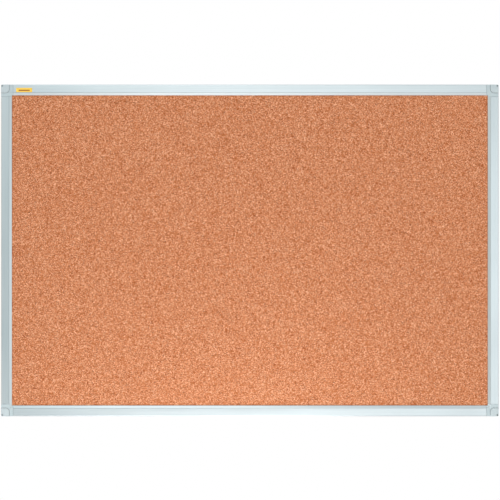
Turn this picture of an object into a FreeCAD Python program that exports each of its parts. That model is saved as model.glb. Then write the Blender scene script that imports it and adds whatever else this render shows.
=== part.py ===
# Cork bulletin board in an aluminium frame with moulded corners.
# Millimetres. +Z is up and the cork faces -Y; the rear of the frame lies on the plane Y = 0, and the
# origin is the middle of the four wall-screw holes on that plane.
import FreeCAD
import Part
import Sketcher
import math
import os
import re
from FreeCAD import Placement, Rotation, Vector

DIMENSIONS = {
    # whole board
    "board_width": 900.0,
    "board_height": 600.0,
    "frame_depth": 18.0,
    # frame extrusion, measured inwards from its outer edge and back from its front face
    "profile_width": 19.3,
    "profile_wall": 1.3,
    "chamber_wall": 1.2,
    "rear_wall": 1.6,
    "rear_flange_width": 16.0,
    "front_edge_radius": 1.5,
    "face_flat_width": 14.2,
    "face_groove_width": 0.7,
    "face_groove_depth": 0.7,
    "lip_start_depth": 0.2,
    "lip_drop": 2.2,
    "lip_tip_radius": 0.4,
    "lip_foot_width": 1.4,
    "lip_slope_run": 3.0,
    "lip_underside_depth": 2.0,
    "recess_depth": 3.4,
    "panel_slot_root": 12.0,
    "seam_gap": 0.35,
    "seam_land_inset": 1.0,
    "seam_land_clearance": 0.05,
    # pinning panel
    "panel_gap": 0.4,
    "cork_thickness": 3.0,
    "backing_thickness": 2.5,
    # corner moulding
    "corner_size": 22.0,
    "corner_radius": 2.5,
    "leg_length": 42.0,
    "leg_clearance": 0.15,
    "leg_floor": 2.0,
    "leg_tip_chamfer": 1.0,
    "leg_pocket_length": 6.0,
    "leg_rib": 1.5,
    "leg_boss_length": 7.0,
    "core_cut_wall": 1.8,
    "core_cut_start": 14.0,
    "core_cut_depth": 11.0,
    "wall_screw_inset": 7.5,
    "wall_screw_hole_radius": 2.4,
    "head_recess_radius": 4.5,
    "head_recess_depth": 9.0,
    # press-fit screw cover
    "cap_size": 15.0,
    "cap_inner_radius": 6.5,
    "cap_thickness": 1.5,
    "cap_seat_depth": 1.6,
    "cap_gap": 0.6,
    "cap_dome": 0.5,
    "cap_edge_radius": 0.4,
    "cap_corner_reach": 12.0,
    "peg_radius": 0.9,
    "peg_length": 3.6,
    "peg_inset": 2.7,
    "peg_clearance": 0.1,
    "pry_hole_inset": 2.5,
    "pry_hole_radius": 1.3,
    "pry_hole_depth": 2.6,
    # screws that hold the extrusions to the corner legs
    "leg_screw_position": 42.0,
    "leg_screw_radius": 1.4,
    "leg_screw_root_radius": 1.05,
    "leg_screw_pitch": 1.1,
    "leg_screw_head_radius": 2.6,
    "leg_screw_length": 10.6,
    "leg_screw_clearance": 0.1,
    "cross_slot_width": 0.7,
    "cross_slot_length": 3.0,
    "cross_slot_depth": 0.9,
    # sticker on the top extrusion
    "label_width": 29.0,
    "label_height": 7.8,
    "label_thickness": 0.12,
    "label_corner_radius": 0.8,
    "label_from_left": 27.5,
    "label_from_top": 6.0,
}

# Lengths that several pieces share, written in terms of the dimensions above.
CORE_THICKNESS = "frame_depth - recess_depth - cork_thickness - backing_thickness - rear_wall"
LEG_NEAR_SIDE = "profile_wall + leg_clearance"
LEG_FAR_SIDE = "panel_slot_root - chamber_wall - leg_clearance"
LEG_CENTRE = "(profile_wall + panel_slot_root - chamber_wall) / 2"
LEG_REAR = "rear_wall + leg_clearance"
LEG_FRONT = "frame_depth - profile_wall - leg_clearance"
LEG_END = "corner_size + leg_length"
CAP_UNDERSIDE = "frame_depth - cap_thickness"
BEVEL_START = "face_flat_width + face_groove_width"
BEYOND = "corner_size + 10"

# Turn about Y, and side of the board in X and Z, of each corner.
CORNERS = {
    "bottom_left": (0, -1, -1),
    "bottom_right": (-90, 1, -1),
    "top_right": (180, 1, 1),
    "top_left": (90, -1, 1),
}
# Turn about Y, side of the board in X and Z, and the board length each extrusion runs along.
SIDES = {
    "bottom": (0, 0, -1, "board_width"),
    "right": (-90, 1, 0, "board_height"),
    "top": (180, 0, 1, "board_width"),
    "left": (90, -1, 0, "board_height"),
}
TOLERANCE = 1e-4

doc = FreeCAD.newDocument("cork_board")
sheet = doc.addObject("Spreadsheet::Sheet", "dims")
for row, (name, number) in enumerate(DIMENSIONS.items(), start=1):
    sheet.set(f"A{row}", name)
    sheet.set(f"B{row}", str(number))
    sheet.setAlias(f"B{row}", name)
doc.recompute()


def bound(text):
    """An expression in which every dimension name points at the sheet."""
    return re.sub(r"\b([a-z]+_[a-z_]+)\b", r"dims.\1", text)


def value(text):
    return float(sheet.evalExpression(bound(text)))


def new_body(label):
    body = doc.addObject("PartDesign::Body", label)
    body.Label = label
    return body


def origin_plane(body, role):
    return next(feature for feature in body.Origin.OriginFeatures if feature.Role == role)


def new_sketch(body, role, offset="0"):
    """A sketch on one of the body's own origin planes, moved along that plane's normal."""
    sketch = body.newObject("Sketcher::SketchObject", "sketch")
    sketch.AttachmentSupport = (origin_plane(body, role), [""])
    sketch.MapMode = "FlatFace"
    sketch.setExpression("AttachmentOffset.Base.z", bound(offset))
    return sketch


def front_sketch(body, height="0"):
    """A sketch seen from the front: across is X, up is Z, height is measured from the wall."""
    return new_sketch(body, "XZ_Plane", height)


def constrain(sketch, kind, *arguments, size=None):
    """Add a constraint, driven by an expression when it has a size."""
    if size is None:
        sketch.addConstraint(Sketcher.Constraint(kind, *arguments))
        return
    index = sketch.addConstraint(Sketcher.Constraint(kind, *arguments, value(size)))
    name = f"size_{index}"
    sketch.renameConstraint(index, name)
    sketch.setExpression(f"Constraints.{name}", bound(size))


def pin_point(sketch, geometry, vertex, across, up):
    constrain(sketch, "DistanceX", -1, 1, geometry, vertex, size=across)
    constrain(sketch, "DistanceY", -1, 1, geometry, vertex, size=up)


def add_loop(sketch, corners):
    """A closed loop of straight lines through the given corners."""
    points = [Vector(value(across), value(up), 0) for across, up in corners]
    lines = []
    for start, end in zip(points, points[1:] + points[:1]):
        lines.append(sketch.addGeometry(Part.LineSegment(start, end)))
    for line, following in zip(lines, lines[1:] + lines[:1]):
        constrain(sketch, "Coincident", line, 2, following, 1)
    for line, (across, up) in zip(lines, corners):
        pin_point(sketch, line, 1, across, up)


def add_rectangle(sketch, left, bottom, right, top):
    add_loop(sketch, [(left, bottom), (right, bottom), (right, top), (left, top)])


def add_circle(sketch, across, up, radius):
    middle = Vector(value(across), value(up), 0)
    circle = sketch.addGeometry(Part.Circle(middle, Vector(0, 0, 1), value(radius)))
    constrain(sketch, "Radius", circle, size=radius)
    pin_point(sketch, circle, 3, across, up)


def add_cover_outline(sketch, low, high, radius):
    """A square from low to high in both directions, its high corner rounded."""
    bend = f"({high} - ({radius}))"
    low_at, high_at, bend_at = value(low), value(high), value(bend)
    corners = [
        Vector(high_at, bend_at, 0),
        Vector(high_at, low_at, 0),
        Vector(low_at, low_at, 0),
        Vector(low_at, high_at, 0),
        Vector(bend_at, high_at, 0),
    ]
    lines = []
    for start, end in zip(corners, corners[1:]):
        lines.append(sketch.addGeometry(Part.LineSegment(start, end)))
    circle = Part.Circle(Vector(bend_at, bend_at, 0), Vector(0, 0, 1), value(radius))
    arc = sketch.addGeometry(Part.ArcOfCircle(circle, 0, math.pi / 2))
    for line, following in zip(lines, lines[1:]):
        constrain(sketch, "Coincident", line, 2, following, 1)
    constrain(sketch, "Coincident", arc, 1, lines[0], 1)
    constrain(sketch, "Coincident", arc, 2, lines[-1], 2)
    constrain(sketch, "Radius", arc, size=radius)
    pin_point(sketch, arc, 3, bend, bend)
    constrain(sketch, "DistanceY", -1, 1, arc, 1, size=bend)
    constrain(sketch, "DistanceX", -1, 1, arc, 2, size=bend)
    pin_point(sketch, lines[1], 1, high, low)
    pin_point(sketch, lines[2], 1, low, low)
    pin_point(sketch, lines[3], 1, low, high)


def extrude(body, kind, sketch, length, away=False):
    """Pad or pocket a sketch; away means against the kind's usual direction."""
    before = body.Tip.Shape.Volume if body.Tip else 0.0
    feature = body.newObject(kind, "extrusion")
    feature.Profile = sketch
    feature.setExpression("Length", bound(length))
    feature.Reversed = away
    doc.recompute()
    change = feature.Shape.Volume - before
    grows = kind == "PartDesign::Pad"
    if (change > TOLERANCE) != grows or abs(change) < TOLERANCE:
        raise RuntimeError(f"{body.Label}: {kind} changed the volume by {change}")
    return feature


def pad(body, sketch, length, away=False):
    return extrude(body, "PartDesign::Pad", sketch, length, away)


def pocket(body, sketch, depth, away=False):
    return extrude(body, "PartDesign::Pocket", sketch, depth, away)


def soften(body, kind, size_name, size, is_wanted):
    """Fillet or chamfer the edges of the body that pass the test."""
    base = body.Tip
    names = [f"Edge{n}" for n, edge in enumerate(base.Shape.Edges, start=1) if is_wanted(edge)]
    if not names:
        raise RuntimeError(f"{body.Label}: no edge found to soften")
    feature = body.newObject(kind, "softened")
    feature.Base = (base, names)
    feature.setExpression(size_name, bound(size))
    doc.recompute()
    return feature


def fillet(body, radius, is_wanted):
    return soften(body, "PartDesign::Fillet", "Radius", radius, is_wanted)


def chamfer(body, size, is_wanted):
    return soften(body, "PartDesign::Chamfer", "Size", size, is_wanted)


def near(first, second):
    return abs(first - second) < TOLERANCE


def stands_at(across, up):
    """Test for an edge that runs front to back at the given place."""
    x, z = value(across), value(up)
    return lambda edge: all(near(v.X, x) and near(v.Z, z) for v in edge.Vertexes)


def lies_at(**places):
    """Test for an edge whose ends all have the given coordinates."""
    wanted = {axis: value(place) for axis, place in places.items()}
    return lambda edge: all(
        near(getattr(vertex, axis), place) for vertex in edge.Vertexes for axis, place in wanted.items()
    )


def place(body, turn, x, z):
    body.Placement = Placement(Vector(0, 0, 0), Rotation(Vector(0, 1, 0), turn))
    body.setExpression("Placement.Base.x", bound(x))
    body.setExpression("Placement.Base.z", bound(z))


def build_profile(side):
    """One hollow extrusion: a chamber for the corner legs, a slot for the panel, a bevelled lip."""
    turn, side_x, side_z, board_length = SIDES[side]
    body = new_body(f"frame_profile_{side}")
    section = [
        ("0", "frame_depth"),
        ("0", "0"),
        ("face_flat_width", "0"),
        ("face_flat_width", "face_groove_depth"),
        (BEVEL_START, "face_groove_depth"),
        (BEVEL_START, "lip_start_depth"),
        ("profile_width", "lip_drop"),
        ("profile_width", "recess_depth"),
        ("profile_width - lip_foot_width", "recess_depth"),
        ("profile_width - lip_foot_width - lip_slope_run", "lip_underside_depth"),
        ("panel_slot_root", "lip_underside_depth"),
        ("panel_slot_root", "frame_depth - rear_wall"),
        ("rear_flange_width", "frame_depth - rear_wall"),
        ("rear_flange_width", "frame_depth"),
    ]
    chamber = [
        ("profile_wall", "profile_wall"),
        ("panel_slot_root - chamber_wall", "profile_wall"),
        ("panel_slot_root - chamber_wall", "frame_depth - rear_wall"),
        ("profile_wall", "frame_depth - rear_wall"),
    ]
    sketch = new_sketch(body, "YZ_Plane")
    for loop in (section, chamber):
        add_loop(sketch, [(f"{depth} - frame_depth", inward) for inward, depth in loop])
    bar = pad(body, sketch, f"{board_length} - 2 * (corner_size + seam_gap)")
    bar.SideType = "Symmetric"
    doc.recompute()
    fillet(body, "front_edge_radius", lies_at(Y="-frame_depth", Z="0"))
    fillet(body, "lip_tip_radius", lies_at(Y="lip_drop - frame_depth", Z="profile_width"))

    # Countersunk holes in the rear wall for the leg screws.
    screw_reach = f"{board_length} / 2 - leg_screw_position"
    sketch = front_sketch(body)
    for across in (screw_reach, f"-({screw_reach})"):
        add_circle(sketch, across, LEG_CENTRE, "leg_screw_radius + leg_screw_clearance")
    pocket(body, sketch, "rear_wall + 1", away=True)

    def is_hole_mouth(edge):
        return near(edge.CenterOfMass.y, 0) and isinstance(edge.Curve, Part.Circle)

    chamfer(body, "leg_screw_head_radius - leg_screw_radius", is_hole_mouth)
    place(body, turn, f"{side_x} * board_width / 2", f"{side_z} * board_height / 2")
    return body


def build_corner_body(corner):
    """One corner moulding: a block that closes the frame and two legs that plug into the extrusions."""
    turn, side_x, side_z = CORNERS[corner]
    body = new_body(f"corner_body_{corner}")

    # Block, notched at its inner corner so that it follows both lips round the opening.
    sketch = front_sketch(body)
    add_loop(sketch, [
        ("0", "0"),
        ("corner_size", "0"),
        ("corner_size", "profile_width"),
        ("profile_width", "profile_width"),
        ("profile_width", "corner_size"),
        ("0", "corner_size"),
    ])
    pad(body, sketch, "frame_depth")
    fillet(body, "corner_radius", stands_at("0", "0"))
    front_y = -value("frame_depth")

    def is_front_outer(edge):
        on_front = all(near(vertex.Y, front_y) for vertex in edge.Vertexes)
        middle = edge.CenterOfMass
        return on_front and min(middle.x, middle.z) < value("corner_radius") / 2

    fillet(body, "front_edge_radius", is_front_outer)

    # Low step on both end faces, set in from the outline, that closes the bottom of the seams.
    sketch = front_sketch(body, "seam_land_inset")
    land_end = "corner_size + seam_gap - seam_land_clearance"
    add_loop(sketch, [
        ("seam_land_inset", "seam_land_inset"),
        (land_end, "seam_land_inset"),
        (land_end, "profile_width"),
        ("profile_width", "profile_width"),
        ("profile_width", land_end),
        ("seam_land_inset", land_end),
    ])
    pad(body, sketch, "frame_depth - 2 * seam_land_inset")

    # Two legs, joined inside the block.
    sketch = front_sketch(body, LEG_REAR)
    add_loop(sketch, [
        (LEG_NEAR_SIDE, LEG_NEAR_SIDE),
        (LEG_END, LEG_NEAR_SIDE),
        (LEG_END, LEG_FAR_SIDE),
        (LEG_FAR_SIDE, LEG_FAR_SIDE),
        (LEG_FAR_SIDE, LEG_END),
        (LEG_NEAR_SIDE, LEG_END),
    ])
    pad(body, sketch, f"{LEG_FRONT} - ({LEG_REAR})")
    at_tip_x = lies_at(X=LEG_END)
    at_tip_z = lies_at(Z=LEG_END)
    chamfer(body, "leg_tip_chamfer", lambda edge: at_tip_x(edge) or at_tip_z(edge))

    # Slot that the corner of the panel sits in.
    sketch = front_sketch(body, "frame_depth - recess_depth")
    add_rectangle(sketch, "panel_slot_root", "panel_slot_root", BEYOND, BEYOND)
    pocket(body, sketch, "frame_depth - recess_depth - rear_wall")

    # Mitred bevel that carries the two lips round the inner corner.
    sketch = front_sketch(body, "frame_depth")
    add_rectangle(sketch, BEVEL_START, BEVEL_START, f"2 * ({BEYOND})", f"2 * ({BEYOND})")
    bevel = pocket(body, sketch, "lip_drop + 1")
    bevel.setExpression("TaperAngle", bound(f"-atan((profile_width - ({BEVEL_START})) / lip_drop)"))
    doc.recompute()

    # Pockets between the ribs of both legs, either side of the boss the leg screw bites into.
    sketch = front_sketch(body, LEG_FRONT)
    pitch = "(leg_pocket_length + leg_rib)"
    starts = [
        f"leg_screw_position - leg_boss_length / 2 - leg_pocket_length - {pitch}",
        "leg_screw_position - leg_boss_length / 2 - leg_pocket_length",
        "leg_screw_position + leg_boss_length / 2",
        f"leg_screw_position + leg_boss_length / 2 + {pitch}",
    ]
    near_side = f"{LEG_NEAR_SIDE} + leg_rib"
    far_side = f"{LEG_FAR_SIDE} - leg_rib"
    for start in starts:
        end = f"{start} + leg_pocket_length"
        add_rectangle(sketch, start, near_side, end, far_side)
        add_rectangle(sketch, near_side, start, far_side, end)
    pocket(body, sketch, f"{LEG_FRONT} - ({LEG_REAR}) - leg_floor")

    # Pilot holes for the leg screws.
    sketch = front_sketch(body, LEG_REAR)
    pilot_radius = "leg_screw_radius + leg_screw_clearance / 2"
    add_circle(sketch, "leg_screw_position", LEG_CENTRE, pilot_radius)
    add_circle(sketch, LEG_CENTRE, "leg_screw_position", pilot_radius)
    pocket(body, sketch, "leg_screw_length", away=True)

    # Two hollows in the rear of the block that keep the moulding's walls even.
    sketch = front_sketch(body)
    hollow_end = "corner_size - core_cut_wall"
    hollow_top = "panel_slot_root - core_cut_wall"
    add_rectangle(sketch, "core_cut_start", "core_cut_wall", hollow_end, hollow_top)
    add_rectangle(sketch, "core_cut_wall", "core_cut_start", hollow_top, hollow_end)
    pocket(body, sketch, "core_cut_depth", away=True)

    # Seat for the press-fit cover, with its rounded inner corner.
    seat_edge = "cap_size + cap_gap"
    sketch = front_sketch(body, "frame_depth")
    add_cover_outline(sketch, "-corner_size", seat_edge, "cap_inner_radius + cap_gap")
    pocket(body, sketch, "cap_seat_depth")

    # Recess for the wall screw's head, and the hole for its shank.
    sketch = front_sketch(body, "frame_depth")
    add_circle(sketch, "wall_screw_inset", "wall_screw_inset", "head_recess_radius")
    pocket(body, sketch, "head_recess_depth")
    sketch = front_sketch(body, "frame_depth")
    add_circle(sketch, "wall_screw_inset", "wall_screw_inset", "wall_screw_hole_radius")
    pocket(body, sketch, "frame_depth")

    # Sockets for the cover's pegs.
    sketch = front_sketch(body, "frame_depth - cap_seat_depth")
    for across, up in peg_places():
        add_circle(sketch, across, up, "peg_radius + peg_clearance")
    pocket(body, sketch, "peg_length + 3 * peg_clearance")

    # Small blind hole at the outermost corner for the tool that pries the cover off.
    sketch = front_sketch(body, "frame_depth")
    add_circle(sketch, "pry_hole_inset", "pry_hole_inset", "pry_hole_radius")
    pocket(body, sketch, "cap_seat_depth + pry_hole_depth")

    place(body, turn, f"{side_x} * board_width / 2", f"{side_z} * board_height / 2")
    return body


def peg_places():
    far = "cap_size - peg_inset"
    return [(far, "peg_inset"), ("peg_inset", far)]


def build_corner_cap(corner):
    """One press-fit cover: a slightly domed plate with two pegs, flush with the block's outer sides."""
    turn, side_x, side_z = CORNERS[corner]
    body = new_body(f"corner_cap_{corner}")
    sketch = front_sketch(body, CAP_UNDERSIDE)
    add_cover_outline(sketch, "0", "cap_size", "cap_inner_radius")
    pad(body, sketch, "cap_thickness + cap_dome")
    fillet(body, "corner_radius", stands_at("0", "0"))

    # Shave the front to a shallow sphere that meets the frame's front face near the far corners.
    crown = "-(frame_depth + cap_dome)"
    sphere_radius = "((cap_corner_reach ^ 2 + cap_dome ^ 2) / (2 * cap_dome))"
    sketch = new_sketch(body, "XY_Plane", "wall_screw_inset")
    sketch.setExpression("AttachmentOffset.Base.x", bound("wall_screw_inset"))
    radius = value(sphere_radius)
    middle = Vector(0, value(crown) + radius, 0)
    spread = math.asin(value("cap_corner_reach") / radius)
    down = -math.pi / 2
    ball = Part.Circle(middle, Vector(0, 0, 1), radius)
    arc = sketch.addGeometry(Part.ArcOfCircle(ball, down, down + spread))
    crown_point = Vector(0, value(crown), 0)
    rim_point = Vector(value("cap_corner_reach"), -value("frame_depth"), 0)
    outside = Vector(0, -2, 0)
    rim_side = sketch.addGeometry(Part.LineSegment(rim_point, rim_point + outside))
    closing = sketch.addGeometry(Part.LineSegment(rim_point + outside, crown_point + outside))
    axis_side = sketch.addGeometry(Part.LineSegment(crown_point + outside, crown_point))
    constrain(sketch, "Coincident", arc, 2, rim_side, 1)
    constrain(sketch, "Coincident", rim_side, 2, closing, 1)
    constrain(sketch, "Coincident", closing, 2, axis_side, 1)
    constrain(sketch, "Coincident", axis_side, 2, arc, 1)
    constrain(sketch, "Radius", arc, size=sphere_radius)
    pin_point(sketch, arc, 3, "0", f"{crown} + {sphere_radius}")
    constrain(sketch, "DistanceX", -1, 1, arc, 1, size="0")
    constrain(sketch, "DistanceX", -1, 1, arc, 2, size="cap_corner_reach")
    pin_point(sketch, rim_side, 2, "cap_corner_reach", f"{crown} - 2")
    pin_point(sketch, closing, 2, "0", f"{crown} - 2")
    dome = body.newObject("PartDesign::Groove", "dome")
    dome.Profile = sketch
    dome.ReferenceAxis = (sketch, ["V_Axis"])
    dome.Angle = 360
    doc.recompute()
    underside_y = -value(CAP_UNDERSIDE)

    def is_front_rim(edge):
        ends = [vertex.Y < underside_y - 1 for vertex in edge.Vertexes]
        return all(ends) and edge.BoundBox.YLength < 1

    fillet(body, "cap_edge_radius", is_front_rim)

    # Pry hole at the outermost corner, over the one in the block.
    sketch = front_sketch(body, "frame_depth + 2 * cap_dome")
    add_circle(sketch, "pry_hole_inset", "pry_hole_inset", "pry_hole_radius")
    pocket(body, sketch, "cap_thickness + 3 * cap_dome")

    # Pegs that press into the block.
    sketch = front_sketch(body, CAP_UNDERSIDE)
    for across, up in peg_places():
        add_circle(sketch, across, up, "peg_radius")
    pad(body, sketch, "peg_length", away=True)
    place(body, turn, f"{side_x} * board_width / 2", f"{side_z} * board_height / 2")
    return body


def build_sheet_layer(label, rear, thickness):
    """One layer of the panel, its edges held in the slots of the frame."""
    body = new_body(label)
    half_width = "(board_width / 2 - panel_slot_root - panel_gap)"
    half_height = "(board_height / 2 - panel_slot_root - panel_gap)"
    sketch = front_sketch(body, rear)
    add_rectangle(sketch, f"-{half_width}", f"-{half_height}", half_width, half_height)
    pad(body, sketch, thickness)
    return body


def build_label():
    """A plain sticker with rounded corners on the flat of the top extrusion."""
    body = new_body("label")
    left = "(label_from_left - board_width / 2)"
    top = "(board_height / 2 - label_from_top)"
    right = f"{left} + label_width"
    bottom = f"{top} - label_height"
    sketch = front_sketch(body, "frame_depth")
    add_rectangle(sketch, left, bottom, right, top)
    pad(body, sketch, "label_thickness")
    tests = [stands_at(across, up) for across in (left, right) for up in (bottom, top)]
    fillet(body, "label_corner_radius", lambda edge: any(test(edge) for test in tests))
    return body


def build_screw():
    """One countersunk self-tapping screw, its head at the rear and its point towards the front."""
    body = new_body("single_screw")
    sketch = new_sketch(body, "XY_Plane")
    head_rear = "-leg_screw_clearance"
    neck = "(-leg_screw_clearance - leg_screw_head_radius + leg_screw_radius)"
    tip = "(-leg_screw_length)"
    outline = [("0", head_rear), ("leg_screw_head_radius", head_rear), ("leg_screw_radius", neck)]
    ridges = int(value("(leg_screw_length - 4) / leg_screw_pitch"))
    for ridge in range(ridges):
        start = f"{neck} - {ridge} * leg_screw_pitch"
        outline.append(("leg_screw_root_radius", f"{start} - leg_screw_pitch / 2"))
        outline.append(("leg_screw_radius", f"{start} - leg_screw_pitch"))
    outline.append(("0", tip))
    add_loop(sketch, outline)
    turned = body.newObject("PartDesign::Revolution", "turned")
    turned.Profile = sketch
    turned.ReferenceAxis = (sketch, ["V_Axis"])
    turned.Angle = 360
    doc.recompute()

    # Cross slot in the head.
    half_width = "cross_slot_width / 2"
    half_length = "cross_slot_length / 2"
    corners = [
        (half_width, half_width),
        (half_width, half_length),
        (f"-{half_width}", half_length),
        (f"-{half_width}", half_width),
        (f"-{half_length}", half_width),
        (f"-{half_length}", f"-{half_width}"),
        (f"-{half_width}", f"-{half_width}"),
        (f"-{half_width}", f"-{half_length}"),
        (half_width, f"-{half_length}"),
        (half_width, f"-{half_width}"),
        (half_length, f"-{half_width}"),
        (half_length, half_width),
    ]
    sketch = front_sketch(body)
    add_loop(sketch, corners)
    pocket(body, sketch, "cross_slot_depth + leg_screw_clearance", away=True)
    return body


def build_leg_screws():
    """The same screw eight times: one through each end of each extrusion."""
    screw = build_screw()
    insets = [("leg_screw_position", LEG_CENTRE), (LEG_CENTRE, "leg_screw_position")]
    links = []
    for side_x in (-1, 1):
        for side_z in (-1, 1):
            for inset_x, inset_z in insets:
                link = doc.addObject("App::Link", "leg_screw")
                link.LinkedObject = screw
                link.LinkTransform = True
                link.setExpression("Placement.Base.x", bound(f"{side_x} * (board_width / 2 - {inset_x})"))
                link.setExpression("Placement.Base.z", bound(f"{side_z} * (board_height / 2 - {inset_z})"))
                links.append(link)
    group = doc.addObject("Part::Compound", "leg_screws")
    group.Label = "leg_screws"
    group.Links = links
    return group


nodes = [build_profile(side) for side in SIDES]
nodes += [build_corner_body(corner) for corner in CORNERS]
nodes += [build_corner_cap(corner) for corner in CORNERS]
nodes.append(build_sheet_layer("backing_board", "rear_wall", "backing_thickness"))
nodes.append(build_sheet_layer("core_board", "rear_wall + backing_thickness", CORE_THICKNESS))
cork_rear = "frame_depth - recess_depth - cork_thickness"
nodes.append(build_sheet_layer("cork_sheet", cork_rear, "cork_thickness"))
nodes.append(build_label())
nodes.append(build_leg_screws())
doc.recompute()

for item in doc.Objects:
    if "Invalid" in item.State or "Error" in item.State:
        raise RuntimeError(f"{item.Label} is {item.State}")
for node in nodes:
    if node.Shape.isNull() or not node.Shape.isValid():
        raise RuntimeError(f"{node.Label} has no valid shape")

os.makedirs("parts", exist_ok=True)
for node in nodes:
    node.Shape.exportStep(f"parts/{node.Label}.step")
    print(f"{node.Label}: {len(node.Shape.Solids)} solid(s), {node.Shape.Volume:.1f} mm3")
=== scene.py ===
# Looks of the cork bulletin board: materials, the cork surface, the studio and the camera.
# Metres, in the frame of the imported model: +Z up, the cork faces -Y, the rear is on Y = 0.
import math
import bmesh
import bpy
import numpy as np
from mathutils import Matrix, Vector


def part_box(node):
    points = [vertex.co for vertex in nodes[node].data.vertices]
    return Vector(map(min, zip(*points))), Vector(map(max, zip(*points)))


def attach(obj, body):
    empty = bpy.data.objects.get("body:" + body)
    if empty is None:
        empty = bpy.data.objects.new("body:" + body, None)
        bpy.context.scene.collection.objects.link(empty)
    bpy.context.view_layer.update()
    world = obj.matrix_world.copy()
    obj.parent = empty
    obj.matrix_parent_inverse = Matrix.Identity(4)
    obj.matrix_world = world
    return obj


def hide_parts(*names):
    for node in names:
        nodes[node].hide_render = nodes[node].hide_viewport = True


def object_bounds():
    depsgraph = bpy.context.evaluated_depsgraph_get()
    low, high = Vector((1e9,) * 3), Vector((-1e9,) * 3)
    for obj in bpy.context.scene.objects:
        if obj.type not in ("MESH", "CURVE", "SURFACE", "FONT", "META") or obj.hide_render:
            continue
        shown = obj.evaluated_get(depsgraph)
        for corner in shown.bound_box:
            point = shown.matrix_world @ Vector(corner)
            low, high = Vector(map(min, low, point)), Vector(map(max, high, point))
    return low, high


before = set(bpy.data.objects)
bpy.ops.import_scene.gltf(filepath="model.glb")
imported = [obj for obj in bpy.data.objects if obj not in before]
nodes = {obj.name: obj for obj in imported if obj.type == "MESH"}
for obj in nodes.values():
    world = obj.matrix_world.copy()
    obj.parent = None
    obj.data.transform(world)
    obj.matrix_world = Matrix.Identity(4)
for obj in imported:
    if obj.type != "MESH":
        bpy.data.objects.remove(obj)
cad_low, cad_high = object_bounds()
SIDES = ("top", "bottom", "left", "right")
CORNERS = ("top_left", "top_right", "bottom_left", "bottom_right")
WHITE = (1.0, 1.0, 1.0, 1.0)


# ---------------------------------------------------------------- helpers

def colour(red, green, blue):
    """A colour given as it looks on screen, 0 to 255, made linear by the sRGB standard."""
    channels = []
    for level in (red, green, blue):
        share = level / 255
        channels.append(share / 12.92 if share <= 0.04045 else ((share + 0.055) / 1.055) ** 2.4)
    return (*channels, 1.0)


def add_node(tree, kind, inputs=None, **settings):
    """Add a node; inputs maps a socket's name or number to a value or to another node's output."""
    node = tree.nodes.new(kind)
    for name, setting in settings.items():
        setattr(node, name, setting)
    for key, source in (inputs or {}).items():
        if isinstance(source, bpy.types.NodeSocket):
            tree.links.new(source, node.inputs[key])
        else:
            node.inputs[key].default_value = source
    return node


def new_material(name):
    """A material, its node tree, its shader and the place of each point on the object."""
    material = bpy.data.materials.new(name)
    material.use_nodes = True
    tree = material.node_tree
    place = add_node(tree, "ShaderNodeTexCoord").outputs["Object"]
    return material, tree, tree.nodes["Principled BSDF"], place


def stretched(tree, place, scales):
    """The place with each axis multiplied, for patterns that run one way."""
    return add_node(tree, "ShaderNodeMapping", {"Vector": place, "Scale": scales}).outputs["Vector"]


def noise(tree, place, scale, detail=2.0, roughness=0.5):
    """Cloudy pattern from 0 to 1; scale is how many clouds there are in a metre."""
    node = add_node(tree, "ShaderNodeTexNoise", {
        "Vector": place, "Scale": scale, "Detail": detail, "Roughness": roughness,
    })
    return node.outputs["Fac"]


def remap(tree, source, low, high, to_low, to_high):
    """Turn the range low to high into to_low to to_high, and stop at both ends."""
    node = add_node(tree, "ShaderNodeMapRange", {
        "Value": source, "From Min": low, "From Max": high, "To Min": to_low, "To Max": to_high,
    })
    return node.outputs["Result"]


def spread(tree, pattern, to_low, to_high, margin=0.3):
    """Turn the middle of a noise pattern, without a margin at each end, into to_low to to_high."""
    return remap(tree, pattern, margin, 1.0 - margin, to_low, to_high)


def calculate(tree, operation, first, second=0.0):
    """One step of arithmetic on numbers or on other nodes' outputs."""
    node = add_node(tree, "ShaderNodeMath", {0: first, 1: second}, operation=operation)
    return node.outputs["Value"]


def weighted_sum(tree, first, first_weight, second, second_weight):
    """Two patterns added together, each with its own weight."""
    return calculate(tree, "ADD", calculate(tree, "MULTIPLY", first, first_weight),
                     calculate(tree, "MULTIPLY", second, second_weight))


def blend_colours(tree, share, first, second, mode="MIX"):
    """The first colour with a share of the second mixed in, or multiplied by it."""
    node = add_node(tree, "ShaderNodeMix", {"Factor": share}, data_type="RGBA", blend_type=mode)
    for socket, source in (("A_Color", first), ("B_Color", second)):
        target = next(item for item in node.inputs if item.identifier == socket)
        if isinstance(source, bpy.types.NodeSocket):
            tree.links.new(source, target)
        else:
            target.default_value = source
    return next(item for item in node.outputs if item.identifier == "Result_Color")


def ramp(tree, source, *stops):
    """Colours along a scale from 0 to 1; each stop is a place and a colour."""
    node = add_node(tree, "ShaderNodeValToRGB", {"Fac": source})
    elements = node.color_ramp.elements
    while len(elements) < len(stops):
        elements.new(0.5)
    for element, (position, shade) in zip(elements, stops):
        element.position = position
        element.color = shade
    return node.outputs["Color"]


def bump(tree, shader, height, depth, strength=1.0):
    """Relief: height from 0 to 1 stands for depth in metres."""
    node = add_node(tree, "ShaderNodeBump", {"Height": height, "Distance": depth, "Strength": strength})
    tree.links.new(node.outputs["Normal"], shader.inputs["Normal"])


# Settings of the painted shade in crevices: darker colour where other surfaces are near.
CREVICE_SHADE_SAMPLES = 8
DEEP_CREVICE = 0.35
OPEN_SURFACE = 0.9


def crevice_painted_shade(tree, shade, reach, darkest):
    """Painted shade: darken a colour where other surfaces within reach leave little of the open air."""
    openness = add_node(tree, "ShaderNodeAmbientOcclusion", {"Distance": reach}, samples=CREVICE_SHADE_SAMPLES)
    grey_level = remap(tree, openness.outputs["AO"], DEEP_CREVICE, OPEN_SURFACE, darkest, 1.0)
    grey = add_node(tree, "ShaderNodeCombineColor", {
        "Red": grey_level, "Green": grey_level, "Blue": grey_level,
    })
    return blend_colours(tree, 1.0, shade, grey.outputs["Color"], mode="MULTIPLY")
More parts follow.
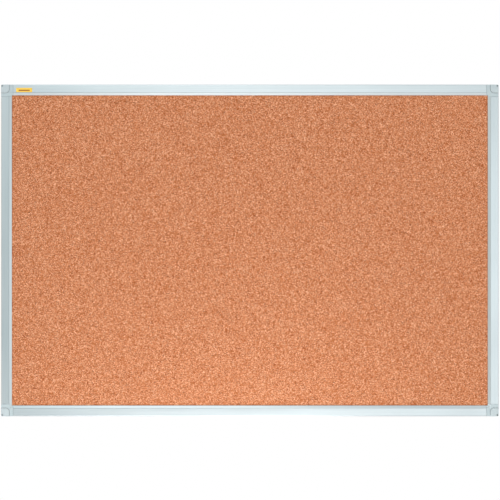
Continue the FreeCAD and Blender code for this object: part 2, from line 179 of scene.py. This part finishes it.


# ---------------------------------------------------------------- materials
# Scales of patterns are per metre; lengths, relief and the reach of the painted crevice shade are in
# metres, unless a note says otherwise. A stretch multiplies the place along one axis, so a small one
# draws the pattern out. A roughness has two values, for the low and the high end of the pattern it
# follows.

METAL_DARK_LINE = colour(198, 206, 209)
METAL_LIGHT_LINE = colour(215, 221, 222)
METAL_CLOUD = colour(190, 196, 200)
METAL_CLOUD_SCALE = 9.0
METAL_CLOUD_FROM = 0.35
METAL_CLOUD_FULL = 0.7
METAL_CLOUD_SHARE = 0.12
METAL_ANISOTROPY = 0.6
METAL_ROUGHNESS = (0.30, 0.40)
METAL_ROUGHNESS_DRIFT = (-0.03, 0.04)
METAL_RELIEF = 0.00002
FINE_LINE_SCALE = 2200.0
FINE_LINE_WEIGHT = 0.6
BROAD_LINE_SCALE = 420.0
BROAD_LINE_WEIGHT = 0.4
LINE_STRETCH = 0.004


def anodised_aluminium(name, stretch, bar_axis):
    """Satin anodised extrusion: hair-fine die lines along the bar, and slow changes in the finish."""
    material, tree, shader, place = new_material(name)
    round_the_bar = add_node(tree, "ShaderNodeTangent", direction_type="RADIAL", axis=bar_axis)
    tree.links.new(round_the_bar.outputs["Tangent"], shader.inputs["Tangent"])
    shader.inputs["Anisotropic"].default_value = METAL_ANISOTROPY
    along = stretched(tree, place, stretch)
    fine_lines = noise(tree, along, FINE_LINE_SCALE, detail=3.0, roughness=0.65)
    broad_lines = noise(tree, along, BROAD_LINE_SCALE)
    clouds = noise(tree, place, METAL_CLOUD_SCALE, detail=4.0)
    lines = weighted_sum(tree, fine_lines, FINE_LINE_WEIGHT, broad_lines, BROAD_LINE_WEIGHT)
    shade = blend_colours(tree, spread(tree, lines, 0.0, 1.0), METAL_DARK_LINE, METAL_LIGHT_LINE)
    cloudy = remap(tree, clouds, METAL_CLOUD_FROM, METAL_CLOUD_FULL, 0.0, METAL_CLOUD_SHARE)
    shade = blend_colours(tree, cloudy, shade, METAL_CLOUD)
    # Painted shade: the metal's colour is darker in the groove and where other parts come near.
    shade = crevice_painted_shade(tree, shade, reach=0.0015, darkest=0.78)
    tree.links.new(shade, shader.inputs["Base Color"])
    roughness = calculate(tree, "ADD", spread(tree, lines, *METAL_ROUGHNESS),
                          spread(tree, clouds, *METAL_ROUGHNESS_DRIFT))
    tree.links.new(roughness, shader.inputs["Roughness"])
    shader.inputs["Metallic"].default_value = 1.0
    bump(tree, shader, lines, METAL_RELIEF)
    return material


PLASTIC_GRAIN_SCALE = 2600.0
PLASTIC_GRAIN_SHADOW = colour(150, 158, 160)
PLASTIC_GRAIN_SHADOW_SHARE = 0.10
PLASTIC_FLOW_SCALE = 55.0
PLASTIC_ROUGHNESS = (0.50, 0.38)
PLASTIC_IOR = 1.49


def moulded_plastic(name, light, dark, grain_depth):
    """Light grey moulded plastic with the fine even grain of a spark-eroded mould."""
    material, tree, shader, place = new_material(name)
    grain = noise(tree, place, PLASTIC_GRAIN_SCALE, roughness=0.6)
    flow = noise(tree, place, PLASTIC_FLOW_SCALE, detail=3.0)
    shade = blend_colours(tree, spread(tree, flow, 0.0, 1.0), light, dark)
    in_grain = spread(tree, grain, PLASTIC_GRAIN_SHADOW_SHARE, 0.0, margin=0.35)
    shade = blend_colours(tree, in_grain, shade, PLASTIC_GRAIN_SHADOW)
    # Painted shade: the plastic's colour is darker in the gaps round the cap and in the seams.
    shade = crevice_painted_shade(tree, shade, reach=0.0015, darkest=0.5)
    tree.links.new(shade, shader.inputs["Base Color"])
    tree.links.new(spread(tree, grain, *PLASTIC_ROUGHNESS), shader.inputs["Roughness"])
    shader.inputs["IOR"].default_value = PLASTIC_IOR
    bump(tree, shader, grain, grain_depth)
    return material


CORK_TONES = (
    (0.0, colour(163, 75, 28)),
    (0.25, colour(200, 113, 62)),
    (0.6, colour(224, 142, 96)),
    (1.0, colour(250, 189, 150)),
)
CORK_BARK = colour(110, 52, 24)
CORK_FIBRE = colour(128, 70, 42)
CORK_BINDER = colour(120, 66, 40)
SMALL_GRANULES = 900.0
LARGE_GRANULES = 520.0
PATCH_SCALE = 260.0
PATCH_FROM = 0.52
PATCH_FULL = 0.55
GRANULE_WOBBLE_SCALE = 700.0
GRANULE_WOBBLE = 0.0012
BARK_FROM = 0.955
BARK_FULL = 0.965
BARK_SHARE = 0.75
FIBRE_SCALE = 2400.0
FIBRE_SHARE = 0.16
BINDER_SHARE = 0.55
BINDER_WIDTH = 0.09    # in granules
CROWN_WIDTH = 0.22     # in granules
CROWN_WEIGHT = 0.55
TONE_WEIGHT = 0.45
CORK_ROUGHNESS = (0.80, 0.60)
CORK_SPECULAR = 0.32
CORK_RELIEF = 0.0003
CORK_RELIEF_STRENGTH = 0.6


def ragged_place(tree, place):
    """The place pushed about a little, so that the edges of the granules are ragged."""
    wobble = add_node(tree, "ShaderNodeTexNoise", {
        "Vector": place, "Scale": GRANULE_WOBBLE_SCALE, "Detail": 2.0,
    })
    centred = add_node(tree, "ShaderNodeVectorMath", {
        0: wobble.outputs["Color"], 1: (0.5, 0.5, 0.5),
    }, operation="SUBTRACT")
    shift = add_node(tree, "ShaderNodeVectorMath", {
        0: centred.outputs["Vector"], "Scale": GRANULE_WOBBLE,
    }, operation="SCALE")
    pushed = add_node(tree, "ShaderNodeVectorMath", {
        0: place, 1: shift.outputs["Vector"],
    }, operation="ADD")
    return pushed.outputs["Vector"]


def granules(tree, place, per_metre):
    """Granules of one size: two random numbers for each, and the distance to the nearest edge."""
    cells = add_node(tree, "ShaderNodeTexVoronoi", {"Vector": place, "Scale": per_metre})
    edges = add_node(tree, "ShaderNodeTexVoronoi", {
        "Vector": place, "Scale": per_metre,
    }, feature="DISTANCE_TO_EDGE")
    numbers = add_node(tree, "ShaderNodeSeparateColor", {"Color": cells.outputs["Color"]}).outputs
    return numbers["Red"], numbers["Green"], edges.outputs["Distance"]


def granulated_cork():
    """Pressed cork granules of two sizes in a dark binder, with specks of bark."""
    material, tree, shader, place = new_material("cork")
    ragged = ragged_place(tree, place)
    patches = noise(tree, place, PATCH_SCALE, detail=1.0)
    where_large = remap(tree, patches, PATCH_FROM, PATCH_FULL, 0.0, 1.0)
    small_ones = granules(tree, ragged, SMALL_GRANULES)
    large_ones = granules(tree, ragged, LARGE_GRANULES)
    mixed = []
    for small, large in zip(small_ones, large_ones):
        mix = add_node(tree, "ShaderNodeMix", {
            "Factor": where_large, 2: small, 3: large,
        }, data_type="FLOAT")
        mixed.append(mix.outputs[0])
    tone, kind, edge = mixed
    shade = ramp(tree, tone, *CORK_TONES)
    bark = remap(tree, kind, BARK_FROM, BARK_FULL, 0.0, BARK_SHARE)
    shade = blend_colours(tree, bark, shade, CORK_BARK)
    fibres = spread(tree, noise(tree, ragged, FIBRE_SCALE), FIBRE_SHARE, 0.0, margin=0.35)
    shade = blend_colours(tree, fibres, shade, CORK_FIBRE)
    binder = remap(tree, edge, 0.0, BINDER_WIDTH, BINDER_SHARE, 0.0)
    shade = blend_colours(tree, binder, shade, CORK_BINDER)
    # Painted shade: the cork's colour is darker along its edges under the frame's lip and in hollows.
    shade = crevice_painted_shade(tree, shade, reach=0.004, darkest=0.7)
    tree.links.new(shade, shader.inputs["Base Color"])
    tree.links.new(remap(tree, tone, 0.0, 1.0, *CORK_ROUGHNESS), shader.inputs["Roughness"])
    shader.inputs["Specular IOR Level"].default_value = CORK_SPECULAR
    crown = remap(tree, edge, 0.0, CROWN_WIDTH, 0.0, 1.0)
    height = weighted_sum(tree, crown, CROWN_WEIGHT, tone, TONE_WEIGHT)
    bump(tree, shader, height, CORK_RELIEF, strength=CORK_RELIEF_STRENGTH)
    return material


SOFTBOARD_TONES = (
    (0.3, colour(146, 121, 90)),
    (0.5, colour(186, 160, 124)),
    (0.7, colour(212, 190, 156)),
)
SOFTBOARD_FIBRE_SCALE = 900.0
SOFTBOARD_FIBRE_STRETCH = 0.2
SOFTBOARD_ROUGHNESS = (0.98, 0.86)
SOFTBOARD_RELIEF = 0.0003


def softboard():
    """Pale fibre core: short matted fibres."""
    material, tree, shader, place = new_material("softboard")
    layers = []
    for stretch in ((1.0, 1.0, SOFTBOARD_FIBRE_STRETCH), (SOFTBOARD_FIBRE_STRETCH, 1.0, 1.0)):
        along = stretched(tree, place, stretch)
        layers.append(noise(tree, along, SOFTBOARD_FIBRE_SCALE, detail=4.0, roughness=0.7))
    fibres = calculate(tree, "MULTIPLY", calculate(tree, "ADD", *layers), 0.5)
    tree.links.new(ramp(tree, fibres, *SOFTBOARD_TONES), shader.inputs["Base Color"])
    tree.links.new(spread(tree, fibres, *SOFTBOARD_ROUGHNESS), shader.inputs["Roughness"])
    bump(tree, shader, fibres, SOFTBOARD_RELIEF)
    return material


HARDBOARD_TONES = (
    (0.3, colour(112, 78, 50)),
    (0.5, colour(150, 110, 74)),
    (0.72, colour(184, 144, 102)),
)
HARDBOARD_CLOUD = colour(124, 88, 58)
HARDBOARD_CLOUD_SHARE = 0.35
HARDBOARD_HOLLOW = colour(92, 62, 40)
HARDBOARD_HOLLOW_SHARE = 0.30
HARDBOARD_HOLLOW_TOP = 0.5    # of the height of the screen's relief
HARDBOARD_FLECK_SCALE = 1100.0
HARDBOARD_CLOUD_SCALE = 14.0
HARDBOARD_SCREEN_SCALE = 180.0
HARDBOARD_ROUGHNESS = (0.82, 0.66)
HARDBOARD_FLECK_RELIEF = 0.3    # in heights of the screen's relief
HARDBOARD_RELIEF = 0.0002


def hardboard():
    """Brown hardboard whose rear carries the imprint of the press screen."""
    material, tree, shader, place = new_material("hardboard")
    flecks = noise(tree, place, HARDBOARD_FLECK_SCALE, detail=4.0, roughness=0.7)
    clouds = noise(tree, place, HARDBOARD_CLOUD_SCALE, detail=3.0)
    shade = ramp(tree, flecks, *HARDBOARD_TONES)
    cloudy = spread(tree, clouds, 0.0, HARDBOARD_CLOUD_SHARE)
    shade = blend_colours(tree, cloudy, shade, HARDBOARD_CLOUD)
    wires = []
    for direction in ("X", "Z"):
        wave = add_node(tree, "ShaderNodeTexWave", {
            "Vector": place, "Scale": HARDBOARD_SCREEN_SCALE,
        }, bands_direction=direction)
        wires.append(wave.outputs["Fac"])
    screen = calculate(tree, "MULTIPLY", *wires)
    hollow = remap(tree, screen, 0.0, HARDBOARD_HOLLOW_TOP, HARDBOARD_HOLLOW_SHARE, 0.0)
    shade = blend_colours(tree, hollow, shade, HARDBOARD_HOLLOW)
    tree.links.new(shade, shader.inputs["Base Color"])
    tree.links.new(remap(tree, screen, 0.0, 1.0, *HARDBOARD_ROUGHNESS), shader.inputs["Roughness"])
    fleck_relief = calculate(tree, "MULTIPLY", flecks, HARDBOARD_FLECK_RELIEF)
    relief = calculate(tree, "ADD", screen, fleck_relief)
    bump(tree, shader, relief, HARDBOARD_RELIEF)
    return material


LABEL_LIGHT = colour(255, 206, 78)
LABEL_DARK = colour(240, 184, 58)
LABEL_CLOUD = colour(255, 218, 110)
LABEL_BAR = colour(166, 100, 26)
LABEL_BAR_LENGTH = 0.020
LABEL_BAR_WIDTH = 0.0022
LABEL_BAR_DROP = 0.0046    # from the label's upper edge to the middle of the bar
LABEL_INK_EDGE = 0.0001    # the ink fades this far to each side of its edge
LABEL_DOT_SCALE = 1800.0
LABEL_DOT_SHARE = 0.35
LABEL_CLOUD_SCALE = 90.0
LABEL_CLOUD_SHARE = 0.25
LABEL_ROUGHNESS = (0.34, 0.44)
LABEL_RELIEF = 0.00001


def label_film():
    """Plain yellow sticker with one blank printed bar, faint printing dots and a soft gloss."""
    material, tree, shader, place = new_material("label_film")
    low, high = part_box("label")
    axes = add_node(tree, "ShaderNodeSeparateXYZ", {"Vector": place}).outputs

    def within(axis, middle, half):
        """1 within half of the middle along an axis and 0 beyond, with a slightly soft edge."""
        distance = calculate(tree, "ABSOLUTE", calculate(tree, "SUBTRACT", axes[axis], middle))
        return remap(tree, distance, half - LABEL_INK_EDGE, half + LABEL_INK_EDGE, 1.0, 0.0)

    bar = calculate(
        tree, "MULTIPLY",
        within("X", (low.x + high.x) / 2, LABEL_BAR_LENGTH / 2),
        within("Z", high.z - LABEL_BAR_DROP, LABEL_BAR_WIDTH / 2),
    )
    dots = noise(tree, place, LABEL_DOT_SCALE, detail=1.0)
    clouds = noise(tree, place, LABEL_CLOUD_SCALE)
    dotted = spread(tree, dots, 0.0, LABEL_DOT_SHARE, margin=0.35)
    cloudy = spread(tree, clouds, 0.0, LABEL_CLOUD_SHARE, margin=0.35)
    shade = blend_colours(tree, dotted, LABEL_LIGHT, LABEL_DARK)
    shade = blend_colours(tree, cloudy, shade, LABEL_CLOUD)
    shade = blend_colours(tree, bar, shade, LABEL_BAR)
    tree.links.new(shade, shader.inputs["Base Color"])
    tree.links.new(spread(tree, clouds, *LABEL_ROUGHNESS), shader.inputs["Roughness"])
    bump(tree, shader, dots, LABEL_RELIEF)
    return material


ZINC_TONES = (
    (0.3, colour(150, 156, 165)),
    (0.55, colour(182, 187, 190)),
    (0.75, colour(194, 188, 168)),
)
ZINC_MOTTLE_SCALE = 1300.0
ZINC_ROUGHNESS = (0.24, 0.40)
ZINC_RELIEF = 0.00001


def zinc_steel():
    """Bright zinc plating with a mottled passivated film."""
    material, tree, shader, place = new_material("zinc_steel")
    mottle = noise(tree, place, ZINC_MOTTLE_SCALE, detail=3.0)
    shade = ramp(tree, mottle, *ZINC_TONES)
    # Painted shade: the plating's colour is darker in recesses and where other parts come near.
    shade = crevice_painted_shade(tree, shade, reach=0.0012, darkest=0.3)
    tree.links.new(shade, shader.inputs["Base Color"])
    tree.links.new(spread(tree, mottle, *ZINC_ROUGHNESS), shader.inputs["Roughness"])
    shader.inputs["Metallic"].default_value = 1.0
    bump(tree, shader, mottle, ZINC_RELIEF)
    return material


def dress(node_name, material):
    """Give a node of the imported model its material."""
    node = nodes[node_name]
    if not node.material_slots:
        node.data.materials.append(material)
    for slot in node.material_slots:
        slot.material = material


# ---------------------------------------------------------------- cork surface

CORK_STEP = 0.0024
CORK_EDGE_FLUSH = 0.006    # the pits fade out over this width along the edges
PIT_SHARE = 0.14           # of the grid's points
PIT_DEPTH = 0.00042
SANDED_DEPTH = 0.00006
CORK_SEED = 11


def build_cork(material):
    """The cork sheet with its sanded, slightly pitted face: a fine grid in front, flat behind."""
    low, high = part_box("cork_sheet")
    width = high.x - low.x
    height = high.z - low.z
    mesh = bmesh.new()
    columns = round(width / CORK_STEP)
    rows = round(height / CORK_STEP)
    # The grid starts one unit wide and high, round its own middle.
    bmesh.ops.create_grid(mesh, x_segments=columns, y_segments=rows, size=0.5)
    random = np.random.default_rng(CORK_SEED)
    pitted = random.random(len(mesh.verts)) < PIT_SHARE
    roll = random.random(len(mesh.verts))
    for vertex, is_pit, amount in zip(mesh.verts, pitted, roll):
        x = low.x + (vertex.co.x + 0.5) * width
        z = low.z + (vertex.co.y + 0.5) * height
        from_edge = min(x - low.x, high.x - x, z - low.z, high.z - z)
        depth = amount * (PIT_DEPTH if is_pit else SANDED_DEPTH)
        depth *= min(1.0, from_edge / CORK_EDGE_FLUSH)
        vertex.co = (x, low.y + depth, z)
    rim = [edge for edge in mesh.edges if edge.is_boundary]
    skirt = bmesh.ops.extrude_edge_only(mesh, edges=rim)["geom"]
    for item in skirt:
        if isinstance(item, bmesh.types.BMVert):
            item.co.y = high.y
    middle = mesh.verts.new(((low.x + high.x) / 2, high.y, (low.z + high.z) / 2))
    rear_rim = [edge for edge in mesh.edges if edge.is_boundary]
    for edge in rear_rim:
        mesh.faces.new((*edge.verts, middle))
    bmesh.ops.recalc_face_normals(mesh, faces=mesh.faces)
    for face in mesh.faces:
        faces_front_or_rear = abs(face.normal.y) > 0.5
        face.smooth = faces_front_or_rear
    data = bpy.data.meshes.new("cork_surface")
    mesh.to_mesh(data)
    mesh.free()
    cork = bpy.data.objects.new("cork_surface", data)
    bpy.context.scene.collection.objects.link(cork)
    data.materials.append(material)
    return cork


# ---------------------------------------------------------------- studio

CAMERA_DISTANCE = 2.2
VIEW_WIDTH = 1.0042    # how wide the camera sees at the board's front, in widths of the board
SENSOR_WIDTH = 36.0    # millimetres, as Blender measures it
CAMERA_SIDE = 0.0003   # the camera stands this far right of the board's middle,
CAMERA_RISE = 0.0008   # and this far above it


def add_camera():
    """Straight on to the middle of the board, which just fills the width of the picture."""
    data = bpy.data.cameras.new("camera")
    camera = bpy.data.objects.new("camera", data)
    bpy.context.scene.collection.objects.link(camera)
    middle = (cad_low + cad_high) / 2
    camera.location = (middle.x + CAMERA_SIDE, cad_low.y - CAMERA_DISTANCE, middle.z + CAMERA_RISE)
    camera.rotation_euler = (math.pi / 2, 0.0, 0.0)
    data.sensor_width = SENSOR_WIDTH
    data.lens = SENSOR_WIDTH * CAMERA_DISTANCE / (VIEW_WIDTH * (cad_high.x - cad_low.x))
    bpy.context.scene.camera = camera


FLOOR_DROP = 2.6
FLOOR_RADIUS = 12.0
FLOOR_SIDES = 96
FLOOR_FADE_START = 1.5
FLOOR_FADE_END = 6.0
FLOOR_DARK = colour(248, 238, 236)
FLOOR_LIGHT = colour(253, 243, 241)
FLOOR_CLOUD_SCALE = 2.0
FLOOR_ROUGHNESS = 0.9


def add_floor():
    """A plain pale floor far below the board, which fades into the white around it."""
    data = bpy.data.meshes.new("floor")
    disc = bmesh.new()
    bmesh.ops.create_circle(disc, cap_ends=True, segments=FLOOR_SIDES, radius=FLOOR_RADIUS)
    disc.to_mesh(data)
    disc.free()
    floor = bpy.data.objects.new("floor", data)
    bpy.context.scene.collection.objects.link(floor)
    floor.location.z = cad_low.z - FLOOR_DROP
    material, tree, shader, place = new_material("pale_floor")
    clouds = noise(tree, place, FLOOR_CLOUD_SCALE)
    shade = blend_colours(tree, clouds, FLOOR_DARK, FLOOR_LIGHT)
    tree.links.new(shade, shader.inputs["Base Color"])
    shader.inputs["Roughness"].default_value = FLOOR_ROUGHNESS
    from_middle = add_node(tree, "ShaderNodeVectorMath", {0: place}, operation="LENGTH")
    fade = remap(tree, from_middle.outputs["Value"], FLOOR_FADE_START, FLOOR_FADE_END, 0.0, 1.0)
    blank = add_node(tree, "ShaderNodeEmission", {"Color": WHITE, "Strength": 1.0})
    mix = add_node(tree, "ShaderNodeMixShader", {
        0: fade, 1: shader.outputs["BSDF"], 2: blank.outputs["Emission"],
    })
    tree.links.new(mix.outputs["Shader"], tree.nodes["Material Output"].inputs["Surface"])
    data.materials.append(material)


# Name, place, width, power in watts and tint of each softbox; all face the middle of the board.
SOFTBOXES = (
    ("high_front", (-0.2, -3.0, 0.9), 1.4, 4.8, (1.0, 0.99, 0.99)),
    ("low_front", (0.1, -3.0, -1.1), 2.2, 3.4, (0.98, 1.0, 1.0)),
    ("right_front", (0.9, -3.0, -0.1), 1.4, 5.6, (0.91, 0.945, 0.955)),
    ("right_side", (2.0, -1.6, -0.2), 1.2, 3.0, (1.0, 0.95, 0.95)),
    ("overhead", (-0.4, -1.4, 1.6), 1.05, 3.8, (1.0, 1.0, 1.0)),
    ("low_left", (-0.25, -0.45, -0.75), 0.4, 1.4, (1.0, 1.0, 1.0)),
    ("low_middle", (0.05, -0.30, -0.62), 0.3, 0.95, (1.0, 1.0, 1.0)),
    ("rear", (-0.8, 2.6, 1.0), 2.0, 24.0, (1.0, 1.0, 1.0)),
)


def add_softbox(name, location, size, power, tint):
    """A square area light that the camera doesn't see."""
    data = bpy.data.lights.new(name, "AREA")
    data.size = size
    data.energy = power
    data.color = tint
    light = bpy.data.objects.new(name, data)
    bpy.context.scene.collection.objects.link(light)
    light.location = location
    light.visible_camera = False
    towards = (cad_low + cad_high) / 2 - Vector(location)
    light.rotation_euler = towards.to_track_quat("-Z", "Y").to_euler()


WARM_SIDE = (1.75, 1.5, 1.3, 1.0)
COOL_LEFT = (0.30, 0.74, 0.86, 1.0)
PALE_RIGHT = (1.02, 1.1, 1.12, 1.0)
# How far across the room, from 0 at the camera's left (-X) to 1 at its right, each tint is reached.
ROOM_TINTS = ((0.16, WARM_SIDE), (0.28, COOL_LEFT), (0.43, PALE_RIGHT))
ROOM_DIM = 0.50
ROOM_BRIGHT = 0.78
# The room is dim up to the first of these heights above and below the board and bright from the
# second on. A height is the upward part of a direction one unit long.
DIM_UP_TO = 0.05
BRIGHT_FROM = 0.35


def add_surroundings():
    """White behind the object; light and reflections come from a soft room.

    The room is dimmer at the height of the board than above and below. From the camera's left to
    its right it is warm, then cool, and pale from a little before the middle onwards.
    """
    world = bpy.data.worlds.new("studio")
    bpy.context.scene.world = world
    world.use_nodes = True
    tree = world.node_tree
    tree.nodes.clear()
    outwards = add_node(tree, "ShaderNodeTexCoord").outputs["Generated"]
    direction = add_node(tree, "ShaderNodeSeparateXYZ", {"Vector": outwards}).outputs
    above_or_below = calculate(tree, "ABSOLUTE", direction["Z"])
    strength = remap(tree, above_or_below, DIM_UP_TO, BRIGHT_FROM, ROOM_DIM, ROOM_BRIGHT)
    from_left = remap(tree, direction["X"], -1.0, 1.0, 0.0, 1.0)
    tint = ramp(tree, from_left, *ROOM_TINTS)
    room = add_node(tree, "ShaderNodeBackground", {"Color": tint, "Strength": strength})
    blank = add_node(tree, "ShaderNodeBackground", {"Color": WHITE, "Strength": 1.0})
    seen = add_node(tree, "ShaderNodeLightPath").outputs["Is Camera Ray"]
    mix = add_node(tree, "ShaderNodeMixShader", {
        0: seen, 1: room.outputs["Background"], 2: blank.outputs["Background"],
    })
    add_node(tree, "ShaderNodeOutputWorld", {"Surface": mix.outputs["Shader"]})


# ---------------------------------------------------------------- the whole scene

across_metal = anodised_aluminium("aluminium_across", (LINE_STRETCH, 1.0, 1.0), "X")
upright_metal = anodised_aluminium("aluminium_upright", (1.0, 1.0, LINE_STRETCH), "Z")
for side in SIDES:
    dress(f"frame_profile_{side}", across_metal if side in ("top", "bottom") else upright_metal)
corner_plastic = moulded_plastic(
    "corner_plastic", light=colour(192, 203, 206), dark=colour(185, 197, 201), grain_depth=0.00003)
cover_plastic = moulded_plastic(
    "cover_plastic", light=colour(196, 205, 207), dark=colour(190, 200, 204), grain_depth=0.00002)
for corner in CORNERS:
    dress(f"corner_body_{corner}", corner_plastic)
    dress(f"corner_cap_{corner}", cover_plastic)
dress("core_board", softboard())
dress("backing_board", hardboard())
dress("label", label_film())
dress("leg_screws", zinc_steel())
cork_material = granulated_cork()
dress("cork_sheet", cork_material)

cork_surface = build_cork(cork_material)
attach(cork_surface, "board")
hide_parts("cork_sheet")

add_camera()
add_floor()
add_surroundings()
for softbox in SOFTBOXES:
    add_softbox(*softbox)
bpy.context.scene.view_settings.view_transform = "Standard"
